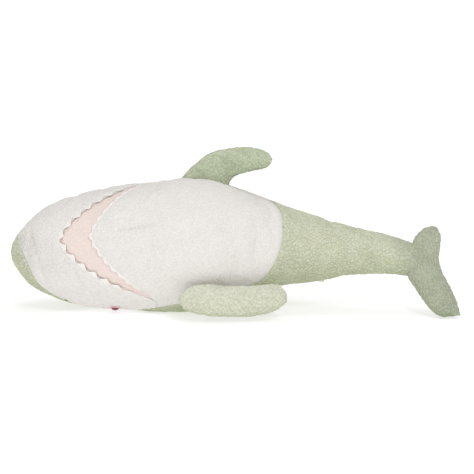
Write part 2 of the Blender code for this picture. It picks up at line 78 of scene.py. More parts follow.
# Cloth simulation: its steps, the coarse grids of the body and the fins, the part by which their
# cloth is larger than its shape, and how far it may move.
STUFFING_FRAMES = 20
BODY_CLOTH_STEP, BODY_COLUMNS = 0.0085, 96
FIN_ROWS, FIN_COLUMNS = 44, 24
BODY_SPARE, FIN_SPARE = 0.014, 0.03
BODY_LIMIT, FIN_LIMIT = 0.008, 0.004
NOSE_HELD_S, TAIL_HELD_S = 0.02, 0.85           # the body's cloth is held before and behind these
FINER = 4                     # cells of the smoothed swell to each cell of a coarse grid

# Body stations: (s, radius, centre height, centre y, roll of the belly's middle in degrees).
STATIONS = np.array((
    (0.0000, 0.0000, 0.127, 0.000, 22),
    (0.0180, 0.0435, 0.127, 0.000, 22),
    (0.0400, 0.0700, 0.128, 0.000, 22),
    (0.0850, 0.1000, 0.132, 0.000, 22),
    (0.1520, 0.1235, 0.133, 0.000, 22),
    (0.2000, 0.1325, 0.1345, 0.000, 23),
    (0.2600, 0.1390, 0.138, 0.000, 25),
    (0.3200, 0.1450, 0.138, 0.000, 29),
    (0.4000, 0.1490, 0.142, 0.000, 32),
    (0.4640, 0.1400, 0.143, 0.000, 33),
    (0.5100, 0.1265, 0.142, 0.000, 33),
    (0.5550, 0.1105, 0.141, -0.003, 34),
    (0.6000, 0.0915, 0.1425, -0.008, 38),
    (0.6900, 0.0690, 0.1385, -0.022, 56),
    (0.7800, 0.0495, 0.1340, -0.036, 82),
    (0.8250, 0.0440, 0.1310, -0.043, 96),
    (0.8900, 0.0360, 0.1190, -0.050, 112),
))

# Half-width of the white cloth in degrees against s, up to where its rounded rear end starts,
# and how far its middle is turned round the nose.
WHITE_START_S = 0.0165
WHITE_EDGE = np.array((
    (0.0165, 0), (0.0215, 36), (0.030, 50), (0.038, 59), (0.050, 69), (0.060, 77), (0.107, 90),
    (0.163, 107), (0.205, 111), (0.263, 106), (0.319, 90), (0.370, 82), (0.450, 78), (0.535, 71),
))
WHITE_TURN = np.array((
    (0.0, 47), (0.0165, 47), (0.0215, 41), (0.030, 32), (0.038, 28), (0.050, 17), (0.060, 8),
    (0.085, 2), (0.107, 0), (1.0, 0),
))
WHITE_ROUND_S, WHITE_END_S, WHITE_ROUND_POWER = 0.535, 0.6035, 2.1

# Mouth edges: s in the middle, growth of s to the corner, and its power. The corner is in degrees.
MOUTH_CORNER = 74.0
UPPER_EDGE = (0.114, 0.212, 1.62)
LOWER_EDGE = (0.183, 0.143, 1.38)
CHEEK_SEAM_S = 0.326

TEETH_SPAN_UPPER, TEETH_SPAN_LOWER = 64, 60     # degrees to either side of the middle
CLOSING_SEAM = (0.245, 0.325)                   # s of the ladder stitch's ends
CLOSING_STITCHES = 18
NOSTRIL_S, NOSTRIL_THETA = 0.123, 88.0
EYE_S, EYE_THETA, EYE_TURN = 0.232, 95.0, 5.0
EYE_RADIUS, EYE_RISE = 0.0086, 0.0046
EYE_HOLD = 0.012              # the cloth is held down this far round an eye
LABEL_LONG, LABEL_WIDE = 0.034, 0.020

# Lengths of the fins' sewn roots along the hinge line.
PECTORAL_LEFT_ROOT, PECTORAL_RIGHT_ROOT, DORSAL_ROOT = 0.1129, 0.1137, 0.1168

TAIL_FIN_UP = np.array((0, 0.58, 1.0)) / np.hypot(0.58, 1.0)
TAIL_FIN_SIDE = np.cross((1, 0, 0), TAIL_FIN_UP)


# ---- the body's shape, on arrays ----------------------------------------------------------

def hermite(at, places, values):
    """Smooth curve through values at places, evaluated on an array."""
    slopes = np.gradient(values, places)
    at = np.clip(at, places[0], places[-1])
    i = np.clip(np.searchsorted(places, at, side="right") - 1, 0, len(places) - 2)
    width = places[i + 1] - places[i]
    t = (at - places[i]) / width
    return ((1 + 2 * t) * (1 - t) ** 2 * values[i] + t * (1 - t) ** 2 * width * slopes[i]
            + t * t * (3 - 2 * t) * values[i + 1] + t * t * (t - 1) * width * slopes[i + 1])


def station(s, column):
    s = np.asarray(s, float)
    return hermite(np.sqrt(np.maximum(s, 0)), np.sqrt(STATIONS[:, 0]), STATIONS[:, column])


def centre(s):
    s = np.asarray(s, float)
    return np.stack([s + NOSE_X, station(s, 3), station(s, 2)], axis=-1)


def skin(s, theta, lift=0.0):
    """Points of the cloth, lift above it, softly flattened on the floor."""
    turn = np.radians(theta + station(s, 4))
    radius = station(s, 1) + lift
    out = np.stack([np.zeros_like(turn), -np.cos(turn), np.sin(turn)], axis=-1)
    points = centre(s) + out * radius[..., None]
    soft = 0.004
    z = points[..., 2]
    points[..., 2] = 0.5 * (z + np.sqrt(z * z + soft * soft))
    return points


def white_side(s):
    """Half-width of the white cloth, without its rounded rear end."""
    q = np.sqrt(np.maximum(np.asarray(s, float) - WHITE_START_S, 0))
    return hermite(q, np.sqrt(WHITE_EDGE[:, 0] - WHITE_START_S), WHITE_EDGE[:, 1])


def white_edge(s):
    s = np.asarray(s, float)
    past = np.clip((s - WHITE_ROUND_S) / (WHITE_END_S - WHITE_ROUND_S), 0, 1)
    rear = WHITE_EDGE[-1, 1] * (1 - past ** WHITE_ROUND_POWER) ** (1 / WHITE_ROUND_POWER)
    return np.where(s > WHITE_ROUND_S, rear, np.where(s < WHITE_START_S, 0, white_side(s)))


def white_turn(s):
    return np.interp(s, WHITE_TURN[:, 0], WHITE_TURN[:, 1])


def mouth_edge(edge, theta, beyond):
    middle, growth, power = edge
    part = np.abs(theta) / MOUTH_CORNER
    return np.where(part < 1, middle + growth * part ** power, beyond)


def upper_mouth(theta):
    return mouth_edge(UPPER_EDGE, theta, CHEEK_SEAM_S)


def lower_mouth(theta):
    return mouth_edge(LOWER_EDGE, theta, CHEEK_SEAM_S)


def edge_at(edge, share):
    """Place s where a mouth edge crosses the line at this share of the white cloth's width."""
    s = np.full(np.shape(share), 0.2)
    for _ in range(80):
        s = 0.5 * s + 0.5 * edge(share * white_edge(s))
    return s


def smooth(x):
    x = np.clip(x, 0, 1)
    return x * x * (3 - 2 * x)


# ---- pile ---------------------------------------------------------------------------------

def tufts(points, cell, across=1.15, down=0.62, warp=0.35):
    """Height from 0 to 1 of flat-topped clumps of pile with narrow gaps between them, about one
    cell wide and longer from top to bottom."""
    scale = 1 / cell
    heights = np.empty(len(points))
    for i, (x, y, z) in enumerate(points):
        at = Vector((x * scale * across, y * scale, z * scale * down))
        at += noise.noise_vector(at * 0.45) * warp * 2
        near = noise.voronoi(at)[0]
        heights[i] = near[1] - near[0]
    return smooth(heights * 2.5)


def cloud(points, size, octaves=2):
    """Soft noise from about -1 to 1, with features of this size."""
    scale = 1 / size
    return np.array([noise.fractal(Vector(p) * scale, 0.8, 2.0, octaves) for p in points])


def grid_normals(points, away):
    """Normals of a grid, turned to the side that the vectors away point to."""
    normals = np.cross(np.gradient(points, axis=0), np.gradient(points, axis=1))
    normals /= np.maximum(np.linalg.norm(normals, axis=-1, keepdims=True), 1e-12)
    return normals * np.where((normals * away).sum(axis=-1, keepdims=True) < 0, -1, 1)


def skin_normals(s, theta):
    """Directions out of the cloth."""
    s = np.clip(s, 0.0004, STATIONS[-1, 0])
    reach = np.minimum(0.0015, s * 0.3)
    along = skin(s + reach, theta) - skin(s - reach, theta)
    around = skin(s, theta + 1) - skin(s, theta - 1)
    normals = np.cross(along, around)
    normals /= np.maximum(np.linalg.norm(normals, axis=-1, keepdims=True), 1e-12)
    away = skin(s, theta, 0.001) - centre(s)
    return normals * np.where((normals * away).sum(axis=-1, keepdims=True) < 0, -1, 1)


class Seams:
    """Sewn lines, as dense points that each have a strength from 0 to 1."""

    def __init__(self):
        self.points, self.strengths = [], []

    def add(self, points, strength):
        self.points.append(points)
        self.strengths.append(np.broadcast_to(strength, len(points)))

    def finish(self):
        points = np.concatenate(self.points)
        self.strengths = np.concatenate(self.strengths)
        self.tree = KDTree(len(points))
        for i, point in enumerate(points):
            self.tree.insert(point, i)
        self.tree.balance()

    def near(self, points):
        """Distance to the nearest seam, and its strength there."""
        found = [self.tree.find(point) for point in points.reshape(-1, 3)]
        distance = np.array([hit[2] for hit in found]).reshape(points.shape[:-1])
        strength = self.strengths[[hit[1] for hit in found]].reshape(points.shape[:-1])
        return distance, strength


def white_outline(side):
    """Edge of the white cloth on one side, from its front end to its rear end."""
    turn = np.linspace(0, 0.5 * math.pi, 160)
    s = np.concatenate([even_rows(WHITE_START_S, WHITE_ROUND_S, 0.001),
                        WHITE_ROUND_S + (WHITE_END_S - WHITE_ROUND_S) * np.sin(turn)])
    return s, white_turn(s) + side * white_edge(s)


def add_white_seam(seams):
    for side in (1, -1):
        s, theta = white_outline(side)
        seams.add(skin(s, theta), smooth((s - 0.012) / 0.02))


def white_seams():
    """Seam round the white cloth."""
    seams = Seams()
    add_white_seam(seams)
    seams.finish()
    return seams


def body_seams():
    """White cloth's edge, the back, the belly behind the white cloth, and both lips."""
    seams = Seams()
    add_white_seam(seams)
    s = np.arange(0.001, COVER_END_S, 0.001)
    seams.add(skin(s, 180 + 0 * s), 0.8 * smooth((s - 0.02) / 0.05))
    s = np.arange(WHITE_END_S, COVER_END_S, 0.001)
    seams.add(skin(s, 0 * s), 0.35 * smooth((s - WHITE_END_S) / 0.02))
    theta = np.linspace(-MOUTH_CORNER, MOUTH_CORNER, 1400)
    corner = smooth((MOUTH_CORNER - np.abs(theta)) / 8)
    seams.add(skin(upper_mouth(theta), theta), 0.9 * corner)
    seams.add(skin(lower_mouth(theta), theta), 0.9 * corner)
    seams.finish()
    return seams


class Pile:
    """Pile of one cloth: clump size and height, and how lumpy the stuffing below is."""

    def __init__(self, cell, height, lump):
        self.cell, self.height, self.lump = cell, height, lump


GREEN_PILE = Pile(0.0050, 0.0024, 0.0016)
WHITE_PILE = Pile(0.0052, 0.0011, 0.0014)
FIN_PILE = Pile(0.0049, 0.0022, 0.0008)
LINING_PILE = Pile(0.0040, 0.0006, 0.0008)


def add_mesh(name, points, faces, look, values=None):
    mesh = bpy.data.meshes.new(name)
    mesh.from_pydata([], [], [])
    mesh.vertices.add(len(points))
    mesh.vertices.foreach_set("co", np.asarray(points, np.float32).ravel())
    faces = np.asarray(faces, np.int32)
    corners = faces.shape[1]
    mesh.loops.add(faces.size)
    mesh.loops.foreach_set("vertex_index", faces.ravel())
    mesh.polygons.add(len(faces))
    mesh.polygons.foreach_set("loop_start", np.arange(0, faces.size, corners, dtype=np.int32))
    mesh.update(calc_edges=True)
    mesh.validate()
    mesh.shade_smooth()
    # Pile value per point: low in the gaps between clumps and at seams, where the plush looks paint
    # shade.
    pile = mesh.attributes.new("pile", "FLOAT", "POINT")
    pile.data.foreach_set("value", np.asarray(values if values is not None
                                              else np.ones(len(points)), np.float32))
    rest = mesh.attributes.new("rest", "FLOAT_VECTOR", "POINT")
    rest.data.foreach_set("vector", np.asarray(points, np.float32).ravel())
    mesh.materials.append(look)
    thing = bpy.data.objects.new(name, mesh)
    bpy.context.scene.collection.objects.link(thing)
    return thing


def grid_faces(rows, columns, flip=False):
    a = (np.arange(rows - 1)[:, None] * columns + np.arange(columns - 1)[None, :]).ravel()
    quads = np.stack([a, a + 1, a + columns + 1, a + columns], axis=1)
    return quads[:, ::-1] if flip else quads


# ---- stuffing -------------------------------------------------------------------------------

def stuffed(name, points, faces, hold, spare, limit):
    """Cloth simulation of a cover under the pressure of its filling: how far each point moves.
    Hold, from 0 to 1, is how firmly a point is sewn down. The cloth is larger than its shape by
    the part spare, so that it puckers, and no point moves further than limit."""
    mesh = bpy.data.meshes.new(name)
    mesh.from_pydata(points.tolist(), [], faces)
    thing = bpy.data.objects.new(name, mesh)
    scene = bpy.context.scene
    scene.collection.objects.link(thing)
    group = thing.vertex_groups.new(name="sewn")
    for i, weight in enumerate(hold):
        group.add([i], float(weight), "REPLACE")
    cloth = thing.modifiers.new("cloth", "CLOTH")
    settings = cloth.settings
    settings.quality = 6
    settings.mass = 0.25
    settings.tension_stiffness = settings.compression_stiffness = 15
    settings.shear_stiffness = 5
    settings.bending_stiffness = 0.2
    settings.use_pressure = True
    settings.uniform_pressure_force = 4
    settings.effector_weights.gravity = 0
    settings.vertex_group_mass = "sewn"
    settings.shrink_min = -spare
    cloth.collision_settings.use_collision = False
    for moment in range(1, STUFFING_FRAMES + 1):
        scene.frame_set(moment)
    posed = thing.evaluated_get(bpy.context.evaluated_depsgraph_get())
    places = np.empty(len(points) * 3, np.float32)
    posed.data.vertices.foreach_get("co", places)
    bpy.data.objects.remove(thing)
    bpy.data.meshes.remove(mesh)
    scene.frame_set(1)
    move = places.reshape(-1, 3) - points
    length = np.linalg.norm(move, axis=-1, keepdims=True)
    return move * np.minimum(1, limit / np.maximum(length, 1e-9))


class Swell:
    """Outward movement of a stuffed cover, known on a coarse grid and read smoothly anywhere."""

    def __init__(self, heights, wrap=False):
        fine = np.repeat(np.repeat(heights, FINER, axis=0), FINER, axis=1)
        kernel = np.array((1, 2, 3, 4, 3, 2, 1)) / 16
        for axis, mode in ((0, "edge"), (1, "wrap" if wrap else "edge")):
            margin = [(0, 0), (0, 0)]
            margin[axis] = (3, 3)
            wide = np.pad(fine, margin, mode=mode)
            fine = sum(part * np.take(wide, range(i, i + fine.shape[axis]), axis=axis)
                       for i, part in enumerate(kernel))
        self.fine = fine

    def at(self, row, column):
        """Heights at places counted in rows and columns of the coarse grid."""
        rows, columns = self.fine.shape
        middle = (FINER - 1) / 2
        x = np.clip(np.asarray(row) * FINER + middle, 0, rows - 1.001)
        y = np.mod(np.asarray(column) * FINER + middle, columns)
        i, j = np.floor(x).astype(int), np.floor(y).astype(int)
        x, y, after = x - i, y - j, (j + 1) % columns
        first = self.fine[i, j] * (1 - y) + self.fine[i, after] * y
        second = self.fine[i + 1, j] * (1 - y) + self.fine[i + 1, after] * y
        return first * (1 - x) + second * x


def piled_panel(name, points, normals, pile, look, seams, hems=(), pull=0.0028, keep=None,
                swell=0.0):
    """Dense panel of piled cloth on a grid. It is drawn in by pull along the seams, and the sides
    in hems turn inwards. Faces whose corners aren't in keep are left out."""
    distance, strength = seams.near(points)
    flat = points.reshape(-1, 3)
    clump = tufts(flat, pile.cell).reshape(distance.shape)
    lump = cloud(flat, 0.055).reshape(distance.shape)
    fine = cloud(flat, 0.016).reshape(distance.shape)
    rise = 1 - strength * (1 - smooth(distance / 0.006))
    lift = pile.height * (0.25 + 0.75 * clump) * (0.25 + 0.75 * rise)
    lift += swell + 0.5 * pile.lump * lump * (1 - strength * (1 - smooth(distance / 0.03)))
    lift += 0.25 * pile.height * fine * rise
    lift -= pull * strength * np.exp(-(distance / 0.0055) ** 2)
    shaped = points + normals * lift[..., None]
    # Painted shade: the colour's pile value drops in the gaps between clumps and near the seams.
    values = clump * (0.35 + 0.65 * rise)
    facing = np.cross(np.gradient(points, axis=0), np.gradient(points, axis=1))
    flip = (facing * normals).sum() > 0
    if keep is None:
        keep = np.ones(distance.shape, bool)
    for side in hems:
        shaped, values, normals = with_hem(shaped, values, normals, side)
        mode = [(0, 0), (0, 0)]
        mode[0 if side in ("top", "bottom") else 1] = (2, 0) if side in ("top", "left") else (0, 2)
        keep = np.pad(keep, mode, mode="edge")
    shaped[..., 2] = np.maximum(shaped[..., 2], 0.0004 + 0.0003 * values)
    faces = grid_faces(*shaped.shape[:2], flip=flip)
    faces = faces[keep.ravel()[faces].all(axis=1)]
    used, renamed = np.unique(faces, return_inverse=True)
    return add_mesh(name, shaped.reshape(-1, 3)[used], renamed.reshape(faces.shape), look,
                    values.ravel()[used])


def with_hem(points, values, normals, side):
    """Adds rows that turn straight in along one side of the grid."""
    axis = 0 if side in ("top", "bottom") else 1
    last = -1 if side in ("bottom", "right") else 0
    edge = np.take(points, [last], axis=axis)
    out = np.take(normals, [last], axis=axis)
    value = np.take(values, [last], axis=axis)
    # The turned-in rows get a low pile value: painted shade in the seam's fold.
    extra = [(edge - out * HEM * part, value * 0.2, out) for part in (0.4, 1.0)]
    if last == 0:
        extra = extra[::-1]
        parts = [[e[k] for e in extra] + [whole]
                 for k, whole in enumerate((points, values, normals))]
    else:
        parts = [[whole] + [e[k] for e in extra]
                 for k, whole in enumerate((points, values, normals))]
    return [np.concatenate(part, axis=axis) for part in parts]


# ---- materials ------------------------------------------------------------------------------

class Nodes:
    """Short-hand for building a material's nodes."""

    def __init__(self, name):
        self.material = bpy.data.materials.new(name)
        self.material.use_nodes = True
        self.tree = self.material.node_tree
        self.shader = self.tree.nodes["Principled BSDF"]

    def add(self, kind, **values):
        node = self.tree.nodes.new(kind)
        for key, value in values.items():
            if key in node.inputs:
                node.inputs[key].default_value = value
            else:
                setattr(node, key, value)
        return node

    def link(self, source, target):
        self.tree.links.new(source, target)

    def surface(self, **values):
        """Sets inputs of the shader. Their names are written with underscores for spaces."""
        for key, value in values.items():
            self.shader.inputs[key.replace("_", " ")].default_value = value

    def rest(self):
        return self.add("ShaderNodeAttribute", attribute_name="rest").outputs["Vector"]

    def pile(self):
        return self.add("ShaderNodeAttribute", attribute_name="pile").outputs["Fac"]

    def noise(self, scale, detail=2.0, stretch=None):
        source = self.rest()
        if stretch:
            mapping = self.add("ShaderNodeMapping")
            mapping.inputs["Scale"].default_value = stretch
            self.link(source, mapping.inputs["Vector"])
            source = mapping.outputs["Vector"]
        node = self.add("ShaderNodeTexNoise", Scale=scale, Detail=detail)
        self.link(source, node.inputs["Vector"])
        return node.outputs["Fac"]

    def voronoi(self, scale):
        node = self.add("ShaderNodeTexVoronoi", Scale=scale)
        self.link(self.rest(), node.inputs["Vector"])
        return node.outputs["Distance"]

    def ramp(self, factor, low, high, low_colour, high_colour):
        node = self.add("ShaderNodeValToRGB")
        node.color_ramp.elements[0].position = low
        node.color_ramp.elements[0].color = (*low_colour, 1)
        node.color_ramp.elements[1].position = high
        node.color_ramp.elements[1].color = (*high_colour, 1)
        self.link(factor, node.inputs["Fac"])
        return node.outputs["Color"]

    def mix(self, factor, first, second, mode="MIX"):
        node = self.add("ShaderNodeMix", data_type="RGBA", blend_type=mode)
        if isinstance(factor, float):
            node.inputs[0].default_value = factor
        else:
            self.link(factor, node.inputs[0])
        for socket, value in ((node.inputs[6], first), (node.inputs[7], second)):
            if isinstance(value, tuple):
                socket.default_value = (*value, 1)
            else:
                self.link(value, socket)
        return node.outputs[2]

    def math(self, operation, first, second=None):
        node = self.add("ShaderNodeMath", operation=operation)
        for socket, value in ((node.inputs[0], first), (node.inputs[1], second)):
            if value is None:
                continue
            if isinstance(value, (int, float)):
                socket.default_value = value
            else:
                self.link(value, socket)
        return node.outputs[0]

    def bump(self, height, distance, strength=1.0, before=None):
        node = self.add("ShaderNodeBump", Distance=distance, Strength=strength)
        self.link(height, node.inputs["Height"])
        if before is not None:
            self.link(before, node.inputs["Normal"])
        return node.outputs["Normal"]


def plush(name, gap_shade, tip, spread, sheen, shade=None, end=None):
    """Long soft pile with fine fibre grain: painted shade darkens the gaps between the clumps and the
    seams, the clumps' tops are lighter. Shade is painted shade on surfaces that face down. End gives
    two places along x and the tint that the pile takes on from the first to the second."""
    n = Nodes(name)
    # Painted shade: the pile value darkens the colour in the gaps between clumps and at seams.
    base = n.ramp(n.pile(), 0.0, 0.55, gap_shade, tip)
    wide = n.ramp(n.noise(22, 3), 0.35, 0.65, (1 - spread,) * 3, (1.0, 1.0, 1.0))
    base = n.mix(1.0, base, wide, "MULTIPLY")
    grain = n.ramp(n.noise(620, 3, (0.55, 1, 1)), 0.3, 0.7, (0.90, 0.90, 0.90), (1.0, 1.0, 1.0))
    base = n.mix(1.0, base, grain, "MULTIPLY")
    # Painted shade: the colour darkens on surfaces whose normal points down.
    if shade:
        facing = n.add("ShaderNodeSeparateXYZ")
        n.link(n.add("ShaderNodeNewGeometry").outputs["Normal"], facing.inputs[0])
        up = n.math("MULTIPLY_ADD", facing.outputs["Z"], 0.5)
        up.node.inputs[2].default_value = 0.5
        base = n.mix(1.0, base, n.ramp(up, 0.05, 0.62, shade, (1.0, 1.0, 1.0)), "MULTIPLY")
    if end:
        place = n.add("ShaderNodeSeparateXYZ")
        n.link(n.rest(), place.inputs[0])
        first, second, tint = end
        base = n.mix(1.0, base, n.ramp(place.outputs["X"], first, second, (1.0, 1.0, 1.0), tint),
                     "MULTIPLY")
    n.link(base, n.shader.inputs["Base Color"])
    n.surface(Roughness=1.0, Specular_IOR_Level=0.1, Sheen_Weight=sheen, Sheen_Roughness=0.45,
              Sheen_Tint=(*tip, 1))
    fibre = n.bump(n.noise(900, 4, (0.5, 1, 1)), 0.0012, 0.55)
    knots = n.bump(n.voronoi(420), 0.0016, 0.45, fibre)
    n.link(knots, n.shader.inputs["Normal"])
    return n.material


def felt(name, colour, dark):
    """Flat needled felt: fine random fibres."""
    n = Nodes(name)
    base = n.ramp(n.noise(700, 5), 0.3, 0.7, dark, colour)
    n.link(base, n.shader.inputs["Base Color"])
    n.surface(Roughness=0.95, Specular_IOR_Level=0.15, Sheen_Weight=0.3)
    n.link(n.bump(n.noise(1500, 4), 0.0005, 0.6), n.shader.inputs["Normal"])
    return n.material


def gloss(name, colour, roughness):
    """Moulded plastic with very slight swirl in its colour and polish."""
    n = Nodes(name)
    base = n.ramp(n.noise(160, 3), 0.3, 0.7, tuple(c * 0.8 for c in colour), colour)
    n.link(base, n.shader.inputs["Base Color"])
    n.link(n.ramp(n.noise(300, 2), 0.3, 0.7, (roughness,) * 3, (roughness * 1.6,) * 3),
           n.shader.inputs["Roughness"])
    n.surface(Coat_Weight=0.5)
    return n.material


def yarn(name, colour):
    """Twisted sewing thread."""
    n = Nodes(name)
    base = n.ramp(n.noise(1800, 2), 0.3, 0.7, tuple(c * 0.75 for c in colour), colour)
    n.link(base, n.shader.inputs["Base Color"])
    n.surface(Roughness=0.7)
    n.link(n.bump(n.noise(2600, 2), 0.0003, 0.6), n.shader.inputs["Normal"])
    return n.material


# Lit and shaded copies of one green cloth: painted shade on the fins that face the camera, painted
# light on the fin that faces up.
# Painted shade tint for green surfaces that face down.
DOWN_FACING_PAINTED_SHADE = (0.80, 0.83, 0.74)
GREEN_GAP_PAINTED_SHADE, GREEN_TIP = (0.54, 0.56, 0.40), (0.69, 0.71, 0.56)
# Painted shade: the tail's end fades into the darker, painted-shade green of the tail fin.
TAIL_END_PAINTED_SHADE = (NOSE_X + 0.82, NOSE_X + 0.91, (0.73, 0.76, 0.745))
GREEN = plush("green_plush_look", GREEN_GAP_PAINTED_SHADE, GREEN_TIP, 0.09, 0.22, DOWN_FACING_PAINTED_SHADE)
GREEN_TAIL_END_PAINTED_SHADE = plush("green_tail_end_painted_shade_look", GREEN_GAP_PAINTED_SHADE, GREEN_TIP, 0.09, 0.22, DOWN_FACING_PAINTED_SHADE, TAIL_END_PAINTED_SHADE)
# Painted shade: darker copy of the green for the left pectoral, which faces the camera.
GREEN_PAINTED_SHADE = plush("green_painted_shade_look", (0.46, 0.51, 0.355), (0.59, 0.645, 0.48), 0.12, 0.20,
                   DOWN_FACING_PAINTED_SHADE)
# Painted shade: darker copy of the green for the tail fin, which faces the camera.
GREEN_TAIL_FIN_PAINTED_SHADE = plush("green_tail_fin_painted_shade_look", (0.38, 0.42, 0.30), (0.50, 0.535, 0.41), 0.12, 0.20,
                   DOWN_FACING_PAINTED_SHADE)
# Painted light: lighter copy of the green for the right pectoral and its root, which face up.
GREEN_PAINTED_LIGHT = plush("green_painted_light_look", (0.60, 0.61, 0.47), (0.75, 0.76, 0.63), 0.08, 0.22,
                    DOWN_FACING_PAINTED_SHADE)
WHITE = plush("white_plush_look", (0.765, 0.74, 0.71), (0.82, 0.795, 0.762), 0.02, 0.10)
PINK = plush("pink_lining_look", (0.81, 0.69, 0.64), (0.86, 0.745, 0.70), 0.03, 0.12)
TOOTH = felt("tooth_felt_look", (0.83, 0.80, 0.765), (0.77, 0.735, 0.70))
BLUSH = felt("blush_felt_look", (0.83, 0.56, 0.57), (0.76, 0.46, 0.48))
WINE = gloss("eye_look", (0.20, 0.020, 0.06), 0.12)
WASHER = gloss("washer_look", (0.55, 0.55, 0.56), 0.4)
THREAD = yarn("thread_look", (0.88, 0.86, 0.82))
NOSTRIL = yarn("nostril_look", (0.22, 0.21, 0.14))
TAPE = felt("label_look", (0.86, 0.84, 0.80), (0.80, 0.78, 0.74))


# ---- body panels ------------------------------------------------------------------------------

def even_rows(first, last, step=STEP):
    """Rows of s spaced evenly along the profile, which is steep at the nose."""
    fine = np.linspace(math.sqrt(first), math.sqrt(last), 4000) ** 2
    radius = station(fine, 1)
    run = np.concatenate([[0], np.cumsum(np.hypot(np.diff(fine), np.diff(radius)))])
    count = max(2, int(run[-1] / step) + 1)
    return np.interp(np.linspace(0, run[-1], count), run, fine)


def strip(rows, start, end):
    """Grid of s and theta between two angle limits given for each row."""
    width = np.radians(np.abs(end - start)) * station(rows, 1)
    columns = int(width.max() / STEP) + 2
    share = np.linspace(0, 1, columns)[None, :]
    theta = start[:, None] + (end - start)[:, None] * share
    return np.repeat(rows[:, None], columns, axis=1), theta


def facing_in(points, normals, quads):
    """Whether four-sided faces turn their backs to the normals."""
    first = points[quads[:, 0]]
    out = np.cross(points[quads[:, 1]] - first, points[quads[:, 3]] - first)
    return (out * normals[quads[:, 0]]).sum() < 0


def settle_body():
    """Simulates the whole body's cloth, sewn down along every seam and at the eyes."""
    turns = np.linspace(-180, 180, BODY_COLUMNS, endpoint=False)[None, :]
    s = BODY_ROWS[:, None] + 0 * turns
    theta = turns + 0 * s
    points, normals = skin(s, theta), skin_normals(s, theta)
    corner = np.arange(s.size).reshape(s.shape)
    along = np.roll(corner, -1, axis=1)
    quads = np.stack([corner[:-1], corner[1:], along[1:], along[:-1]], axis=-1).reshape(-1, 4)
    faces = quads.tolist() + [corner[0].tolist(), corner[-1][::-1].tolist()]
    flat = points.reshape(-1, 3)
    if facing_in(flat, normals.reshape(-1, 3), quads):
        faces = [face[::-1] for face in faces]
    distance, strength = BODY_SEAMS.near(points)
    hold = strength * (1 - smooth((distance - 0.005) / 0.015))
    for side in (1, -1):
        eye_place = skin(np.array(EYE_S), np.array(EYE_TURN + side * EYE_THETA))
        reach = np.linalg.norm(points - eye_place, axis=-1)
        hold = np.maximum(hold, 1 - smooth((reach - EYE_HOLD) / EYE_HOLD))
    hold = np.where((s < NOSE_HELD_S) | (s > TAIL_HELD_S), 1.0, hold)
    move = stuffed("body_cloth", flat, faces, hold.ravel(), BODY_SPARE, BODY_LIMIT)
    height = (move.reshape(points.shape) * normals).sum(axis=-1)
    free = hold < 0.1
    height = np.where(s > NOSE_HELD_S, height - np.median(height[free]) * (1 - hold), 0)
    return Swell(height, wrap=True)


def body_swell(s, theta):
    row = np.interp(s, BODY_ROWS, np.arange(len(BODY_ROWS)))
    return BODY_SWELL.at(row, (theta + 180) / 360 * BODY_COLUMNS)


def white_panel(name, s, theta, hem):
    """White cloth, turned in along both sides and along its top or bottom row."""
    piece = piled_panel(name, skin(s, theta), skin_normals(s, theta), WHITE_PILE, WHITE, BODY_SEAMS,
                        ("left", "right", hem), 0.0022, swell=body_swell(s, theta))
    return piece


def green_panel(name, rows, side):
    """Green cloth from the belly's middle to the ridge of the back. Its allowance runs a little
    way under the edge of the white cloth and ends there."""
    s, theta = strip(rows, white_turn(rows), np.full(len(rows), side * 180.0))
    points = skin(s, theta)
    inside = side * (theta - white_turn(s)) < white_edge(s)
    depth = np.where(inside, WHITE_SEAMS.near(points)[0], 0)
    points = points - skin_normals(s, theta) * (ALLOWANCE_DEPTH * smooth(depth / 0.002))[..., None]
    piece = piled_panel(name, points, skin_normals(s, theta), GREEN_PILE, GREEN, BODY_SEAMS,
                        ("right",), keep=depth < ALLOWANCE, swell=body_swell(s, theta))
    return piece


def stands_for(node):
    """Hides the CAD node that a piece stands in for."""
    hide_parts(node)


def bend(piece):
    """Bakes a piece's placement into its mesh."""
    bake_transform(piece)


def bend_head(piece):
    bend(piece)


def bend_tail(piece):
    bend(piece)


def bend_tail_fin(piece):
    bend(piece)


def back_front(side):
    """Green cloth of one side, from the nose tip to the middle of the trunk."""
    where = "left" if side > 0 else "right"
    piece = green_panel("back_front_" + where, even_rows(1e-7, MID_SPLIT_S), side)
    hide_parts("head_back_cover_" + where, "trunk_back_cover_" + where)
    bend_head(piece)


def back_rear(side):
    """Green cloth of one side, over the rear of the trunk and the front of the tail."""
    where = "left" if side > 0 else "right"
    piece = green_panel("back_rear_" + where, even_rows(MID_SPLIT_S, TAIL_SPLIT_S), side)
    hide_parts("tail_cover_" + where)
    bend_tail(piece)


def tail_skin(s, theta, lift=0.0):
    """The tail's end, squeezed flat and closed, so that it runs into the tail fin as a wedge."""
    points = skin(s, theta, lift)
    middle = centre(np.minimum(s, STATIONS[-1, 0]))
    middle[..., 0] = s + NOSE_X
    past = np.clip((s - TAIL_ROUND_S) / (TAIL_END_S - TAIL_ROUND_S), 0, 1)
    offset = (points - middle) * np.sqrt(np.maximum(1 - past ** 2, 0))[..., None]
    sideways = (offset @ TAIL_FIN_SIDE)[..., None] * TAIL_FIN_SIDE
    part = smooth((s - 0.850) / 0.10)[..., None]
    return middle + offset - sideways * 0.55 * part


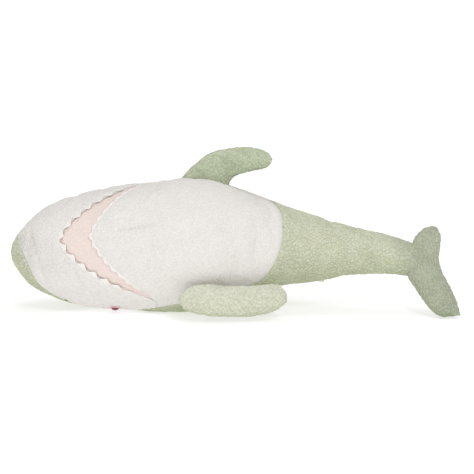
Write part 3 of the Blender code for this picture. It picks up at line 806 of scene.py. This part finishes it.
def tail_panel(side):
    """Green cloth of one side of the tail's end, which closes inside the tail fin."""
    where = "left" if side > 0 else "right"
    rows = np.concatenate([even_rows(TAIL_SPLIT_S, TAIL_ROUND_S)[:-1],
                           TAIL_ROUND_S + (TAIL_END_S - TAIL_ROUND_S)
                           * np.sin(np.linspace(0, 0.5 * math.pi, 48))])
    s, theta = strip(rows, np.zeros(len(rows)), np.full(len(rows), side * 180.0))
    points = tail_skin(s, theta)
    away = tail_skin(s, theta, 0.002) - points + np.array((0.0004, 0, 0))
    piece = piled_panel("tail_end_" + where, points, grid_normals(points, away), GREEN_PILE,
                        GREEN_TAIL_END_PAINTED_SHADE, BODY_SEAMS, ("left", "right"), swell=body_swell(s, theta))
    bend_tail_fin(piece)


def white_shares(widest, radius):
    """Shares of the white cloth's half-width, for columns spaced evenly where it is widest."""
    half = int(math.radians(widest) * radius / STEP)
    return np.linspace(-1, 1, 2 * half + 1)


def snout():
    """White cloth in front of the mouth, with the cheeks beside it."""
    share = white_shares(111, 0.134)
    ends = edge_at(upper_mouth, share)
    part = (np.linspace(0, 1, 141) ** 1.5)[:, None]
    first = WHITE_START_S + 1e-5
    s = first + (ends[None, :] - first) * part
    theta = white_turn(s) + share[None, :] * white_edge(s)
    piece = white_panel("snout", s, theta, "bottom")
    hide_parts("snout_cover", "head_filling")
    bend_head(piece)


def jaw():
    """White cloth behind the mouth, over the throat and the front of the belly."""
    share = white_shares(111, 0.134)
    starts = edge_at(lower_mouth, share)
    part = np.linspace(0, 1, 166)[:, None]
    s = starts[None, :] + (MID_SPLIT_S - starts[None, :]) * part
    theta = share[None, :] * white_edge(s)
    piece = white_panel("jaw_and_throat", s, theta, "top")
    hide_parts("jaw_cover", "trunk_filling")
    bend_head(piece)


def belly_rear():
    """White cloth over the rear of the belly, with its rounded end."""
    share = white_shares(78, 0.140)
    rounded = (1 - np.abs(share) ** WHITE_ROUND_POWER) ** (1 / WHITE_ROUND_POWER)
    ends = WHITE_ROUND_S + (WHITE_END_S - WHITE_ROUND_S) * rounded
    part = np.linspace(0, 1, 92)[:, None]
    s = MID_SPLIT_S + (ends[None, :] - MID_SPLIT_S) * part
    theta = share[None, :] * white_side(np.minimum(s, WHITE_ROUND_S))
    piece = white_panel("belly_rear", s, theta, "bottom")
    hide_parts("belly_cover", "tail_filling")
    bend_tail(piece)


# ---- fins ---------------------------------------------------------------------------------------

def edge_curve(points, b):
    points = np.asarray(points, float)
    places = np.linspace(0, 1, len(points))
    return np.stack([hermite(b, places, points[:, 0]), hermite(b, places, points[:, 1])], axis=-1)


class Leaf:
    """Stuffed fin: a pillow between a front and a rear edge in the plane of axes u and w."""

    def __init__(self, origin, u_axis, w_axis, front, rear, half, curl=0.0, tips=1):
        self.origin = np.array(origin, float)
        self.u = np.array(u_axis, float)
        self.u /= np.linalg.norm(self.u)
        w = np.array(w_axis, float)
        w -= self.u * (w @ self.u)
        self.w = w / np.linalg.norm(w)
        self.n = np.cross(self.u, self.w)
        self.front, self.rear = front, rear
        self.half, self.curl, self.tips = half, curl, tips

    def along(self, b):
        if self.tips == 2:
            return np.maximum(0, 1 - np.abs(2 * b - 1) ** 5) ** 0.5
        return np.maximum(0, 1 - np.clip(b, 0, 1) ** 4) ** 0.5

    def seams(self):
        """The seam round the fin's edge, but not across a root."""
        made = Seams()
        b = np.linspace(0, 1, 500)
        front, rear = edge_curve(self.front, b), edge_curve(self.rear, b)
        closed = (0, -1) if self.tips == 2 else (-1,)
        across = np.linspace(0, 1, 60)[:, None]
        lines = [front, rear] + [front[end] + (rear - front)[end] * across for end in closed]
        for line in lines:
            curl = self.curl * np.maximum(line[:, :1], 0) ** 2
            made.add(self.origin + line[:, :1] * self.u + line[:, 1:] * self.w + curl * self.n, 0.9)
        made.finish()
        return made

    def grid(self, side, rows, columns):
        a = 0.5 - 0.5 * np.cos(np.linspace(0, math.pi, columns))[None, :]
        a = 0.35 * a + 0.65 * np.linspace(0, 1, columns)[None, :]
        b = np.linspace(0, 1, rows)[:, None]
        b = 0.5 * b + 0.5 * (1 - (1 - b) ** 1.6)
        front, rear = edge_curve(self.front, b[:, 0]), edge_curve(self.rear, b[:, 0])
        plane = front[:, None, :] + (rear - front)[:, None, :] * a[..., None]
        across = np.maximum(0, 1 - np.abs(2 * a - 1) ** 2.4) ** 0.55
        height = side * self.half * across * self.along(b)
        height = height + self.curl * np.maximum(plane[..., 0], 0) ** 2
        return (self.origin + plane[..., :1] * self.u + plane[..., 1:] * self.w
                + height[..., None] * self.n)


def settle_fin(name, leaf):
    """Simulates both panels of a fin, sewn together round the edge. Gives each side's swell."""
    rows, columns = FIN_ROWS, FIN_COLUMNS
    corner = np.arange(rows * columns).reshape(rows, columns)
    quads = np.stack([corner[:-1, :-1], corner[1:, :-1], corner[1:, 1:], corner[:-1, 1:]], axis=-1)
    sheets, outs, faces = [], [], []
    for side in (1, -1):
        points = leaf.grid(side, rows, columns)
        out = grid_normals(points, np.broadcast_to(leaf.n * side, points.shape))
        mine = quads.reshape(-1, 4)
        if facing_in(points.reshape(-1, 3), out.reshape(-1, 3), mine):
            mine = mine[:, ::-1]
        faces += (mine + len(sheets) * corner.size).tolist()
        sheets.append(points)
        outs.append(out)
    hold = np.ones((rows, columns))
    hold[1:-1, 1:-1] = 0.4
    hold[2:-2, 2:-2] = 0.0
    points = np.stack(sheets)
    move = stuffed(name + "_cloth", points.reshape(-1, 3), faces, np.tile(hold.ravel(), 2),
                   FIN_SPARE, FIN_LIMIT)
    heights = (move.reshape(points.shape) * np.stack(outs)).sum(axis=-1)
    heights -= np.median(heights) * (1 - hold)
    return {1: Swell(heights[0]), -1: Swell(heights[1])}


def fin(name, leaf, sides, rows, columns, look, sewn_joint=None):
    """Two cloth panels of a fin. With a sewn joint they are baked in place, and without one they
    follow the fin."""
    swells = settle_fin(name, leaf)
    nodes = [f"{name}_cover_{where}" for where in sorted(sides)] + [name + "_filling"]
    for side, where in ((1, sides[0]), (-1, sides[1])):
        points = leaf.grid(side, rows, columns)
        normals = grid_normals(points, np.broadcast_to(leaf.n * side, points.shape))
        swell = swells[side].at(np.linspace(0, FIN_ROWS - 1, rows)[:, None],
                                np.linspace(0, FIN_COLUMNS - 1, columns)[None, :])
        piece = piled_panel(f"{name}_{where}", points, normals, FIN_PILE, look, leaf.seams(), (),
                            0.0010, swell=swell)
        if sewn_joint:
            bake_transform(piece)
        else:
            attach(piece, name)
        if side == 1:
            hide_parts(*nodes)


def hinge_start(joint, length):
    """Front end of a hinge line of this length, and its direction towards the tail."""
    pivot = np.array(JOINTS[joint]["pos_m"])
    axis = np.array(JOINTS[joint]["axis"])
    if axis[0] < 0:
        axis = -axis
    return pivot - axis * length / 2, axis


def pectoral_left():
    origin, axis = hinge_start("pectoral_left_flap", PECTORAL_LEFT_ROOT)
    front = [(-0.012, -0.016), (0.026, 0.036), (0.064, 0.070), (0.112, 0.088),
             (0.150, 0.094), (0.184, 0.090), (0.200, 0.076)]
    rear = [(0.112, -0.016), (0.112, 0.010), (0.124, 0.026), (0.142, 0.036),
            (0.164, 0.045), (0.186, 0.054), (0.197, 0.066)]
    leaf = Leaf(origin, axis, (0, -0.04, 1), front, rear, 0.0165, 0.7)
    fin("pectoral_left", leaf, ("back", "front"), 150, 68, GREEN_PAINTED_SHADE, "pectoral_left_flap")


def pectoral_right_root(leaf):
    """Short neck of cloth that sews the right pectoral to the flank. The fin hides it in front."""
    turn = np.linspace(0, math.tau, 121)[None, :]
    along, up = np.cos(turn), np.sin(turn)
    part = np.linspace(0, 1, 30)[:, None, None]
    sunk_in_flank, sunk_in_fin = 0.004, 0.009
    on_flank = skin(0.437 + 0.038 * along, -67 + 5.0 * up, -sunk_in_flank)
    on_fin = (leaf.origin + (0.062 + 0.042 * along)[..., None] * leaf.u
              + (0.029 - 0.013 * up)[..., None] * leaf.w + sunk_in_fin * leaf.n)
    points = on_flank + (on_fin - on_flank) * part
    middle = points[:, :-1].mean(axis=1, keepdims=True)
    points = middle + (points - middle) * (1 - 0.10 * np.sin(math.pi * part))
    piece = piled_panel("pectoral_right_root", points, grid_normals(points, points - middle),
                        FIN_PILE, GREEN_PAINTED_LIGHT, leaf.seams(), (), 0.0)
    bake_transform(piece)


def pectoral_right():
    origin, axis = hinge_start("pectoral_right_flap", PECTORAL_RIGHT_ROOT)
    front = [(0.000, 0.044), (0.020, 0.064), (0.062, 0.075), (0.118, 0.0775),
             (0.168, 0.075), (0.212, 0.064), (0.240, 0.044)]
    rear = [(0.004, 0.034), (0.026, 0.014), (0.060, 0.007), (0.110, 0.010),
            (0.166, 0.009), (0.214, 0.006), (0.238, 0.022)]
    leaf = Leaf(origin, axis, (0, -0.28, -0.96), front, rear, 0.0175, 0.0, 2)
    pectoral_right_root(leaf)
    fin("pectoral_right", leaf, ("bottom", "top"), 150, 60, GREEN_PAINTED_LIGHT)


def dorsal():
    origin, axis = hinge_start("dorsal_fin_flop", DORSAL_ROOT)
    front = [(-0.010, -0.014), (0.022, 0.028), (0.052, 0.060), (0.086, 0.088), (0.118, 0.106)]
    rear = [(0.118, -0.014), (0.115, 0.022), (0.118, 0.050), (0.127, 0.076), (0.138, 0.096)]
    turn = math.radians(180 + float(station(0.44, 4)))
    leaf = Leaf(origin, axis, (0, -math.cos(turn), math.sin(turn)), front, rear, 0.0165)
    fin("dorsal_fin", leaf, ("left", "right"), 110, 70, GREEN, "dorsal_fin_flop")


def tail_fin():
    origin = np.array(JOINTS["tail_fin_flex"]["pos_m"])
    front = [(0.058, 0.0755), (0.0353, 0.061), (0.0185, 0.0355), (0.010, 0.000), (0.0075, -0.040),
             (0.0225, -0.069), (0.0410, -0.0975), (0.059, -0.121), (0.079, -0.136)]
    rear = [(0.0715, 0.0725), (0.0798, 0.054), (0.0798, 0.032), (0.0760, 0.000), (0.0825, -0.030),
            (0.0950, -0.057), (0.1085, -0.086), (0.1175, -0.112), (0.1225, -0.133)]
    leaf = Leaf(origin, (1, -0.05, 0), TAIL_FIN_UP, front, rear, 0.0165, 0.0, 2)
    fin("tail_fin", leaf, ("right", "left"), 130, 62, GREEN_TAIL_FIN_PAINTED_SHADE)


# ---- mouth ------------------------------------------------------------------------------------

def mouth_lining():
    """Short-piled pink cloth that bellies in between the lips, deepest just under the upper lip."""
    reach, half = 72.0, 150
    depth_at_lips, hollow, groove = 0.0030, 0.0026, 0.0030
    theta = np.linspace(-reach, reach, 2 * half + 1)[None, :]
    part = np.linspace(0, 1, 60)[:, None]
    front, rear = upper_mouth(theta) - 0.006, lower_mouth(theta) + 0.006
    s = front + (rear - front) * part
    open_part = smooth((reach - np.abs(theta)) / 25)
    depth = depth_at_lips + hollow * np.sin(math.pi * part) ** 0.7 * open_part
    under_lip = 1 - smooth(((rear - front) * part - 0.0085) / 0.006)
    depth = depth + groove * under_lip * open_part
    theta = theta + 0 * s
    piece = piled_panel("mouth_lining_cloth", skin(s, theta, -depth), skin_normals(s, theta),
                        LINING_PILE, PINK, BODY_SEAMS, (), 0.0)
    stands_for("mouth_lining")
    bend_head(piece)


def teeth(name, node, edge, towards, width, length, span, gap):
    """Row of soft triangular felt teeth, evenly spaced along one lip and standing out from
    under it."""
    fine = np.linspace(-span, span, 1200)
    path = skin(edge(fine), fine)
    run = np.concatenate([[0], np.cumsum(np.linalg.norm(np.diff(path, axis=0), axis=-1))])
    count = int(round(run[-1] / width))
    per, across = 16, 10
    phase = np.linspace(0, count, count * per + 1)
    theta = np.interp(phase / count * run[-1], run, fine)
    point = np.clip((1 - np.abs(2 * (phase % 1.0) - 1) - gap) / (0.94 - gap), 0, 1) ** 0.75
    fade = smooth((span - np.abs(theta)) / 16) * 0.75 + 0.25
    reach = -0.0015 + (0.0015 + length) * point * fade
    tuck = 0.006
    outward = lip_direction(edge, theta, towards)
    part = np.linspace(0, 1, across)[:, None]
    away = -tuck + (tuck + reach)[None, :] * part
    s = edge(theta)[None, :] + away * outward[None, :, 0]
    turned = theta[None, :] + away * outward[None, :, 1]
    rows = []
    for level in (1, -1):
        thick = 0.0012 * np.sqrt(np.clip(1 - part ** 6, 0.02, 1)) * (0.35 + 0.65 * point)[None, :]
        depth = 0.0036 - 0.0030 * part - level * thick
        rows.append(skin(s, turned, -depth))
    points = np.concatenate([rows[0], rows[1][::-1]], axis=0)
    faces = grid_faces(*points.shape[:2], flip=towards > 0)
    piece = add_mesh(name, points.reshape(-1, 3), faces, TOOTH)
    stands_for(node)
    bend_head(piece)


def lip_direction(edge, theta, towards):
    """Steps in s and theta, per metre, square to a lip and pointing over the lining."""
    radius = station(edge(theta), 1)
    slope = (edge(theta + 0.5) - edge(theta - 0.5)) / np.radians(1) / radius
    size = np.sqrt(1 + slope ** 2)
    return np.stack([towards / size, -towards * np.degrees(slope / size / radius)], axis=-1)


# ---- small parts ----------------------------------------------------------------------------

def skin_frame(s, theta, lift=0.0):
    """Matrix with +Z out of the cloth at a place on the body."""
    def at(s_, theta_):
        return Vector(skin(np.array(s_, float), np.array(theta_, float)))
    along = (at(s + 0.002, theta) - at(s - 0.002, theta)).normalized()
    around = (at(s, theta + 1) - at(s, theta - 1)).normalized()
    out = along.cross(around).normalized()
    if out.dot(at(s, theta) - Vector(centre(np.array(float(s))))) < 0:
        out = -out
    across = out.cross(along)
    turn = Matrix((along, across, out)).transposed().to_4x4()
    return Matrix.Translation(at(s, theta) + out * lift) @ turn


def lathe(name, profile, look, frame_matrix, segments=56):
    """Solid turned about local Z, from a closed profile of (radius, height)."""
    angle = np.linspace(0, math.tau, segments, endpoint=False)
    ring = np.stack([np.cos(angle), np.sin(angle)], axis=-1)
    points = np.array([[(r * c, r * d, h) for c, d in ring] for r, h in profile])
    rows, columns = len(profile), segments
    faces = []
    for i in range(rows):
        for j in range(columns):
            a, b = i * columns + j, i * columns + (j + 1) % columns
            c, d = ((i + 1) % rows) * columns + (j + 1) % columns, ((i + 1) % rows) * columns + j
            faces.append((a, d, c, b))
    matrix = np.array(frame_matrix)
    flat = points.reshape(-1, 3) @ matrix[:3, :3].T + matrix[:3, 3]
    return add_mesh(name, flat, faces, look)


def eye(side):
    """Domed safety eye on a soft felt ring."""
    where = "left" if side > 0 else "right"
    place = skin_frame(EYE_S, EYE_TURN + side * EYE_THETA, 0.0008)
    dome = [(max(EYE_RADIUS * math.sin(t), 1e-5), 0.0018 + EYE_RISE * math.cos(t) ** 1.1)
            for t in np.linspace(0, 0.5 * math.pi, 16)]
    under = [(EYE_RADIUS * 0.92, 0.0012), (1e-5, 0.0010)]
    piece = lathe("eye_dome_" + where, dome + under, WINE, place)
    stands_for("eye_" + where)
    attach(piece, "head")
    outer, inner = 0.0122, 0.0030
    ring = [(inner, 0.0016), (0.0100, 0.0018), (0.0115, 0.0014), (outer, 0.0004),
            (0.0118, -0.0006), (inner, -0.0006)]
    disc = lathe("eye_ring_" + where, ring, BLUSH, place)
    stands_for("eye_felt_" + where)
    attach(disc, "head")
    NODES["eye_washer_" + where].data.materials[0] = WASHER


def tube(name, points, radius, look):
    """Thread as a bevelled curve turned into a mesh."""
    curve = bpy.data.curves.new(name, "CURVE")
    curve.dimensions = "3D"
    curve.bevel_depth = radius
    curve.bevel_resolution = 2
    curve.use_fill_caps = True
    line = curve.splines.new("POLY")
    line.points.add(len(points) - 1)
    for control, point in zip(line.points, points):
        control.co = (*point, 1)
    maker = bpy.data.objects.new(name + "_maker", curve)
    bpy.context.scene.collection.objects.link(maker)
    graph = bpy.context.evaluated_depsgraph_get()
    mesh = bpy.data.meshes.new_from_object(maker.evaluated_get(graph))
    bpy.data.objects.remove(maker)
    count = len(mesh.vertices)
    rest = mesh.attributes.new("rest", "FLOAT_VECTOR", "POINT")
    places = np.empty(count * 3, np.float32)
    mesh.vertices.foreach_get("co", places)
    rest.data.foreach_set("vector", places)
    mesh.materials.clear()
    mesh.materials.append(look)
    mesh.shade_smooth()
    thing = bpy.data.objects.new(name, mesh)
    bpy.context.scene.collection.objects.link(thing)
    return thing


def nostril(side):
    where = "left" if side > 0 else "right"
    t = np.linspace(-1, 1, 15)
    s, theta = NOSTRIL_S + 0.0042 * t, side * (NOSTRIL_THETA + 1.3 * t * t)
    points = skin(s, theta, 0.0014 - 0.0012 * t * t + body_swell(s, theta))
    piece = tube("nostril_thread_" + where, points, 0.0011, NOSTRIL)
    stands_for("nostril_stitch_" + where)
    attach(piece, "head")


def closing_seam():
    """Ladder stitch half buried in the white pile along the middle of the belly."""
    first, last = CLOSING_SEAM
    t = np.linspace(0, CLOSING_STITCHES, CLOSING_STITCHES * 6 + 1)
    s = first + (last - first) * t / CLOSING_STITCHES
    side = np.clip(np.sin(math.pi * (t + 0.5)) * 1.6, -1, 1)
    turn = 0.9 * side
    points = skin(s, turn, 0.0019 + body_swell(s, turn))
    piece = tube("closing_stitches", points, 0.0005, THREAD)
    stands_for("closing_seam_thread")
    bend_head(piece)


def care_label():
    """Blank tape folded over, standing out of the back seam of the tail."""
    low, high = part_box("care_label")
    s = float((low.x + high.x) / 2 - NOSE_X) - 0.001
    place = skin_frame(s, 180.0, -0.003)
    matrix = np.array(place)
    loop = [(0.0009 + 0.0011 * math.sin(math.pi * k), LABEL_LONG * math.sin(math.pi * k) ** 0.9)
            for k in np.linspace(0, 0.5, 20)]
    path = loop + [(-x, z) for x, z in reversed(loop)]
    across = np.linspace(-0.5, 0.5, 14)
    points = []
    for x, z in path:
        sway = 0.004 * (z / LABEL_LONG) ** 2
        points.append([(LABEL_WIDE * a, x + sway, z) for a in across])
    points = np.array(points).reshape(-1, 3) @ matrix[:3, :3].T + matrix[:3, 3]
    piece = add_mesh("care_label_tape", points, grid_faces(len(path), len(across)), TAPE)
    solid = piece.modifiers.new("tape", "SOLIDIFY")
    solid.thickness = 0.0004
    stands_for("care_label")
    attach(piece, "tail")


# ---- stage --------------------------------------------------------------------------------------

def floor():
    """Pale sheet that glows a little, so that only the deeper shadows show on it."""
    size = 30.0
    corners = [(-size, -size, 0), (size, -size, 0), (size, size, 0), (-size, size, 0)]
    n = Nodes("floor_look")
    n.link(n.ramp(n.noise(3, 2), 0.2, 0.8, (0.58, 0.58, 0.58), (0.60, 0.60, 0.60)),
           n.shader.inputs["Base Color"])
    n.surface(Roughness=0.9, Specular_IOR_Level=0.0, Emission_Color=(1, 1, 1, 1))
    length = n.add("ShaderNodeVectorMath", operation="LENGTH")
    n.link(n.add("ShaderNodeNewGeometry").outputs["Position"], length.inputs[0])
    glow = n.add("ShaderNodeMapRange")
    n.link(length.outputs["Value"], glow.inputs["Value"])
    for key, value in (("From Min", 1.0), ("From Max", 3.5), ("To Min", 0.57), ("To Max", 0.76)):
        glow.inputs[key].default_value = value
    n.link(glow.outputs["Result"], n.shader.inputs["Emission Strength"])
    made = add_mesh("floor", corners, [(0, 1, 2, 3)], n.material)
    made.location.z = -0.0006


def light(name, place, target, size, power):
    data = bpy.data.lights.new(name, "AREA")
    data.shape = "DISK"
    data.size = size
    data.energy = power
    made = bpy.data.objects.new(name, data)
    made.location = place
    made.rotation_mode = "QUATERNION"
    made.rotation_quaternion = (Vector(target) - Vector(place)).to_track_quat("-Z", "Y")
    bpy.context.scene.collection.objects.link(made)


def studio():
    world = bpy.data.worlds.new("studio")
    bpy.context.scene.world = world
    world.use_nodes = True
    shade = world.node_tree.nodes["Background"]
    shade.inputs["Color"].default_value = (1, 1, 1, 1)
    seen = world.node_tree.nodes.new("ShaderNodeLightPath")
    strength = world.node_tree.nodes.new("ShaderNodeMapRange")
    world.node_tree.links.new(seen.outputs["Is Camera Ray"], strength.inputs["Value"])
    strength.inputs["To Min"].default_value = 0.58
    strength.inputs["To Max"].default_value = 1.0
    world.node_tree.links.new(strength.outputs["Result"], shade.inputs["Strength"])
    light("key", (0.9, -2.3, 1.9), (0.2, 0, 0.1), 0.7, 22)
    light("top", (0.0, 0.1, 3.0), (0.0, 0, 0.1), 1.6, 19)
    light("fill", (-1.3, -2.1, 0.35), (-0.1, 0, 0.08), 1.2, 10)
    bpy.context.scene.view_settings.view_transform = "Standard"
    bpy.context.scene.view_settings.look = "None"


def camera():
    """Long lens, level with the toy and looking slightly down on it."""
    data = bpy.data.cameras.new("camera")
    distance, seen_width, rise = 4.8, 1.058, math.radians(9.5)
    data.sensor_width = 36
    data.lens = 36 * distance / seen_width
    made = bpy.data.objects.new("camera", data)
    target = Vector((NOSE_X + 0.5025, 0, 0.161))
    back = Vector((0, -math.cos(rise), math.sin(rise)))
    made.location = target + back * distance
    made.rotation_mode = "QUATERNION"
    made.rotation_quaternion = (-back).to_track_quat("-Z", "Y")
    bpy.context.scene.collection.objects.link(made)
    bpy.context.scene.camera = made


BODY_ROWS = even_rows(0.004, COVER_END_S, BODY_CLOTH_STEP)
BODY_SEAMS = body_seams()
WHITE_SEAMS = white_seams()
BODY_SWELL = settle_body()


def build():
    for side in (1, -1):
        back_front(side)
        back_rear(side)
        tail_panel(side)
        eye(side)
        nostril(side)
    snout()
    jaw()
    belly_rear()
    pectoral_left()
    pectoral_right()
    dorsal()
    tail_fin()
    mouth_lining()
    teeth("upper_teeth", "teeth_upper", upper_mouth, 1, 0.0295, 0.0088, TEETH_SPAN_UPPER, 0.13)
    teeth("lower_teeth", "teeth_lower", lower_mouth, -1, 0.0225, 0.0042, TEETH_SPAN_LOWER, 0.05)
    closing_seam()
    care_label()
    floor()
    studio()
    camera()


build()
